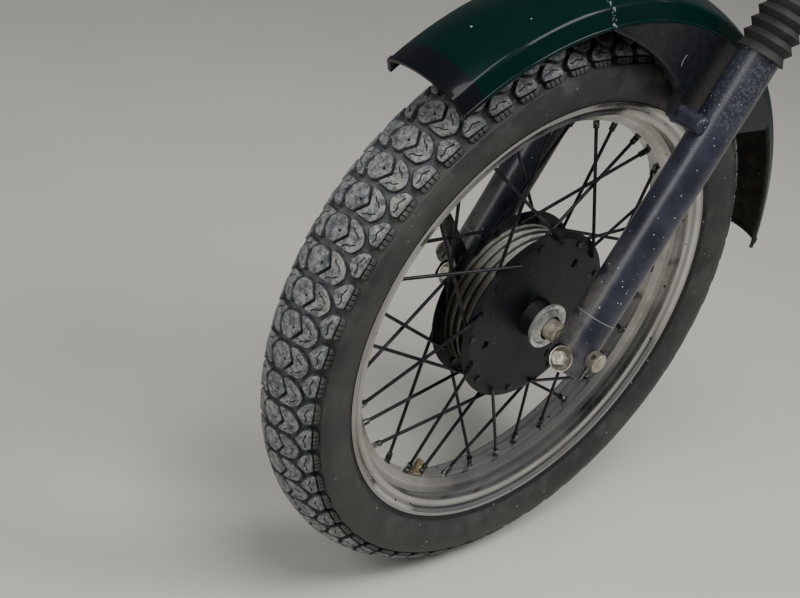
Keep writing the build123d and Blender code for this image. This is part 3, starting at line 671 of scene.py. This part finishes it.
RAKE = math.radians(27)
UP_LEG = Vector((-math.sin(RAKE), 0, math.cos(RAKE)))
AHEAD = Vector((math.cos(RAKE), 0, math.sin(RAKE)))
LEG_OUT = 0.086            # leg's axis from the wheel's middle plane
PINCH_FACE = 0.011         # spot face ahead of the leg's axis
PINCH_DROP = 0.016         # bolt below the axle, down the leg
WASHER_RIM = ((12.1, 2.4), (12.4, 3.1), (13.1, 3.3), (13.5, 2.9), (13.5, 2.4))
HEAD_CROWN = ((0.1, 9.4), (5.3, 9.4), (4.9, 10.0), (3.9, 10.1), (3.6, 9.8), (0.1, 9.8))
HEAD_STEPS = 40
for side, end in ((1, "_l"), (-1, "_r")):
    seat = AXLE + LEFT * side * LEG_OUT + AHEAD * PINCH_FACE - UP_LEG * PINCH_DROP
    for name, profile in (("washer_rim", WASHER_RIM), ("bolt_crown", HEAD_CROWN)):
        points, faces = lathe(profile, seat, AHEAD, UP_LEG, HEAD_STEPS)
        piece(name + end, points, faces, "fork", yellowed_zinc)

# Fork legs: steel tube and forged foot under thick blue-black paint, chipped to
# pale primer, dusty low down with a painted brown reflection on one side, and pitted near the top.
LEG_DARK = (0.016, 0.018, 0.029)
LEG_BLUE = (0.031, 0.034, 0.051)
LEG_DUST_AND_SHEEN = (0.175, 0.158, 0.122)
LEG_PITTED = (0.100, 0.103, 0.112)
LEG_CRACK = (0.26, 0.25, 0.24)
PRIMER = (0.52, 0.52, 0.52)
JOINT = 0.0367             # the foot's joint, up the leg from the axle
CRACK_HALF_W = 0.0003      # the paint has cracked along the joint
PITTED = (0.262, 0.33)     # stretch up the leg that is pitted
SHEEN_SIDE = (0.62, -0.45, 0.25)       # the way that the side with the painted brown reflection faces
leg = Finish("blue_black_paint")
up = leg.along(UP_LEG)
patch = leg.noise(26, 5, 0.6)
tone = leg.blend(patch.rise(0.35, 0.65), LEG_DARK, LEG_BLUE)
on_foot = up.rise(0.03, -0.02) * patch.rise(0.35, 0.6)
# Painted reflection: a brown sheen on one side of the lower tube, mixed with the foot's dust.
sheen_side = leg.facing(SHEEN_SIDE).rise(0.35, 0.75)
sheen_on_tube = up.rise(0.14, 0.05) * sheen_side * leg.noise(75, 5, 0.7).rise(0.36, 0.60)
dust_and_sheen = on_foot * 0.5 + sheen_on_tube * 0.7
tone = leg.blend(dust_and_sheen * 0.6, tone, LEG_DUST_AND_SHEEN)
pitted = up.band(*PITTED, 0.02) * leg.noise(300, 4, 0.8).rise(0.50, 0.60)
tone = leg.blend(pitted * 0.5, tone, LEG_PITTED)
at_joint = up.band(JOINT - CRACK_HALF_W, JOINT + CRACK_HALF_W, CRACK_HALF_W)
crack = at_joint * leg.noise(34, 2).rise(0.42, 0.50)
tone = leg.blend(crack * 0.8, tone, LEG_CRACK)
chips = leg.specks(230, 0.18, 0.28) * leg.noise(30).rise(0.40, 0.54)
tone = leg.blend(chips, tone, PRIMER)
leg.grain(leg.noise(300, 4) * (0.5 + pitted) - chips * 0.5, 0.0006, 0.6)
blue_black = leg.give(
    Base_Color=tone, Roughness=0.36 + 0.3 * dust_and_sheen, Specular_IOR_Level=0.3,
    Coat_Weight=0.3, Coat_Roughness=0.24,
)
paint(blue_black, "slider_l", "slider_r", "foot_l", "foot_r", "lug_l", "lug_r")

# Stanchions: ground steel tubes under hard chrome, which the legs slide on.
# Only their upper ends stand out of the gaiters.
STANCHION_DULL = (0.62, 0.62, 0.62)
STANCHION_BRIGHT = (0.74, 0.74, 0.74)
tube = Finish("hard_chrome")
tone = tube.blend(tube.noise(40), STANCHION_DULL, STANCHION_BRIGHT)
hard_chrome = tube.give(Base_Color=tone, Metallic=1.0, Roughness=0.16)
paint(hard_chrome, "stanchion_l", "stanchion_r")

# Gaiters: moulded rubber bellows pushed over the top of each leg, to keep dirt
# off the stanchion. They are matt black and greyed by dust.
GAITER_BLACK = (0.008, 0.0078, 0.0072)
GAITER_DUST = (0.028, 0.026, 0.023)
bellows = Finish("gaiter_rubber")
tone = bellows.blend(bellows.noise(50, 5, 0.6).rise(0.3, 0.7), GAITER_BLACK, GAITER_DUST)
bellows.grain(bellows.noise(300, 3), 0.0004, 0.4)
gaiter_rubber = bellows.give(Base_Color=tone, Roughness=0.75)
paint(gaiter_rubber, "gaiter_l", "gaiter_r")

# Mudguard brackets: folded steel plate under dark paint, beaten most and painted
# lighter on the faces that point ahead, bolted to the legs' lugs. Two dome nuts on the inside of each.
PLATE_BLACK = (0.006, 0.007, 0.010)
PLATE_WORN = (0.012, 0.014, 0.018)
AHEAD_FACE_PALE = (0.030, 0.033, 0.038)
HIGHLIGHT_PALE = (0.42, 0.42, 0.40)
HIGHLIGHT_MIDDLE = (-0.0876, 0, 0.2830)  # a curved painted highlight runs part of the way round this place
HIGHLIGHT_R = (0.0110, 0.0114)
HIGHLIGHT_HEIGHT = (0.281, 0.291)        # above the axle
HIGHLIGHT_BACK = (-0.084, -0.083)        # ahead of it
plate = Finish("bracket_paint")
beaten = plate.noise(150, 4, 0.6)
# Lighter on the faces that point ahead.
facing_ahead = plate.facing(FORWARD).rise(0.5, 0.8)
tone = plate.blend(beaten.rise(0.35, 0.65), PLATE_BLACK, PLATE_WORN)
tone = plate.blend(facing_ahead * 0.5, tone, AHEAD_FACE_PALE)
from_middle = Amount(plate, plate.vector("DISTANCE", plate.outward(), HIGHLIGHT_MIDDLE).outputs["Value"])
# Painted highlight: a thin pale curve across the plate.
painted_highlight = from_middle.band(*HIGHLIGHT_R, 0.0003) * plate.along(UP).band(*HIGHLIGHT_HEIGHT, 0.001)
tone = plate.blend(painted_highlight * plate.along(FORWARD).rise(*HIGHLIGHT_BACK), tone, HIGHLIGHT_PALE)
plate.grain(beaten * (0.2 + facing_ahead), 0.0012, 0.5)
bracket_paint = plate.give(Base_Color=tone, Roughness=0.34, Specular_IOR_Level=0.3)
paint(bracket_paint, "bracket_l", "bracket_r")

DOME_NUT = ((0.1, 0.4), (4.6, 0.4), (4.6, 3.0), (3.9, 3.4), (3.6, 4.4), (2.6, 5.2), (1.2, 5.6), (0.1, 5.7))
DOME_STEPS = 24
NUTS = (
    # name, millimetres ahead of the axle, millimetres above it
    ("nut_upper", -46.0, 288.6),
    ("nut_lower", -67.5, 271.8),
)
inner_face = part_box("bracket_l")[0].y - AXLE.y
for side, end in ((1, "_l"), (-1, "_r")):
    for name, ahead, above in NUTS:
        seat = AXLE + (FORWARD * ahead + UP * above) / 1000 + LEFT * side * inner_face
        points, faces = lathe(DOME_NUT, seat, -LEFT * side, FORWARD, DOME_STEPS)
        piece(name + end, points, faces, "fork", blue_black)

# Mudguard: rolled steel with a bead along each edge, under deep green gloss
# enamel, brown with road dirt on its underside and specked with pale paint.
GREEN_DARK = (0.0001, 0.0098, 0.0080)
GREEN = (0.0004, 0.0150, 0.0122)
END_BLACK = (0.0050, 0.0060, 0.0080)
PALE_PAINT = (0.36, 0.39, 0.36)
ROAD_DIRT = (0.060, 0.052, 0.040)
BLACK_END = math.radians(57.6)         # the black front end reaches this far up the guard
LINE_UP = (0.0957, 0, 0.9954)          # way up to a line of spatter across the guard
LINE_AHEAD = (0.9954, 0, -0.0957)      # and the way square to it
guard = Finish("green_enamel")
ripple = guard.noise(9, 3)
tone = guard.blend(ripple, GREEN_DARK, GREEN)
below = guard.along((-math.sin(BLACK_END), 0, math.cos(BLACK_END))).rise(0.0015, -0.0015)
tone = guard.blend(below * guard.along(FORWARD).rise(0.05, 0.06), tone, END_BLACK)
line = guard.along(LINE_UP).rise(0.31, 0.32) * guard.along(LINE_AHEAD).band(-0.002, 0.002, 0.001)
spatter = guard.specks(95, 0.13, 0.07) + line * guard.noise(420, 3).rise(0.53, 0.62) * 0.6
tone = guard.blend(spatter, tone, PALE_PAINT)
under = guard.facing(guard.outward()).rise(-0.3, -0.5)
mud = guard.noise(60, 5, 0.65).rise(0.35, 0.65)
tone = guard.blend(under * (0.4 + mud * 0.5), tone, ROAD_DIRT)
guard.grain(ripple + guard.noise(60, 2) * 0.05, 0.0004, 0.15)
green_enamel = guard.give(
    Base_Color=tone, Roughness=0.30 + 0.3 * under, Specular_IOR_Level=0.05,
    Coat_Weight=0.18 - 0.18 * under, Coat_Roughness=0.06,
)
paint(green_enamel, "mudguard")

# Floor and light: a plain pale floor, soft light from high up behind the wheel's
# left side, from above, and a weaker one from in front.
FLOOR_HALF = 30
FLOOR_DARK = (0.60, 0.57, 0.52)
FLOOR_PALE = (0.66, 0.63, 0.575)
SKY = (0.90, 0.92, 0.95, 1)
SKY_STRENGTH = 0.2
LIGHTS = (
    # name, place from the hub, size, watts
    ("key", (-0.95, 1.35, 1.72), 0.9, 32),
    ("top", (0.6, 0.8, 2.2), 1.0, 30),
    ("front", (1.9, 0.1, 1.2), 1.0, 18),
)
ground = Finish("pale_floor")
tone = ground.blend(ground.noise(3, 2), FLOOR_DARK, FLOOR_PALE)
pale_floor = ground.give(Base_Color=tone, Roughness=0.8)
corners = [(x * FLOOR_HALF, y * FLOOR_HALF, tyre_low.z) for x, y in ((-1, -1), (1, -1), (1, 1), (-1, 1))]
mesh = bpy.data.meshes.new("floor")
mesh.from_pydata(corners, [], [(0, 1, 2, 3)])
mesh.materials.append(pale_floor)
floor = bpy.data.objects.new("floor", mesh)
bpy.context.scene.collection.objects.link(floor)

world = bpy.data.worlds.new("sky")
world.use_nodes = True
background = world.node_tree.nodes["Background"]
background.inputs["Color"].default_value = SKY
background.inputs["Strength"].default_value = SKY_STRENGTH
bpy.context.scene.world = world
for name, place, size, watts in LIGHTS:
    lamp = bpy.data.lights.new(name, "AREA")
    lamp.size = size
    lamp.energy = watts
    holder = bpy.data.objects.new(name, lamp)
    holder.location = AXLE + Vector(place)
    holder.rotation_euler = (-Vector(place)).to_track_quat("-Z", "Y").to_euler()
    bpy.context.scene.collection.objects.link(holder)
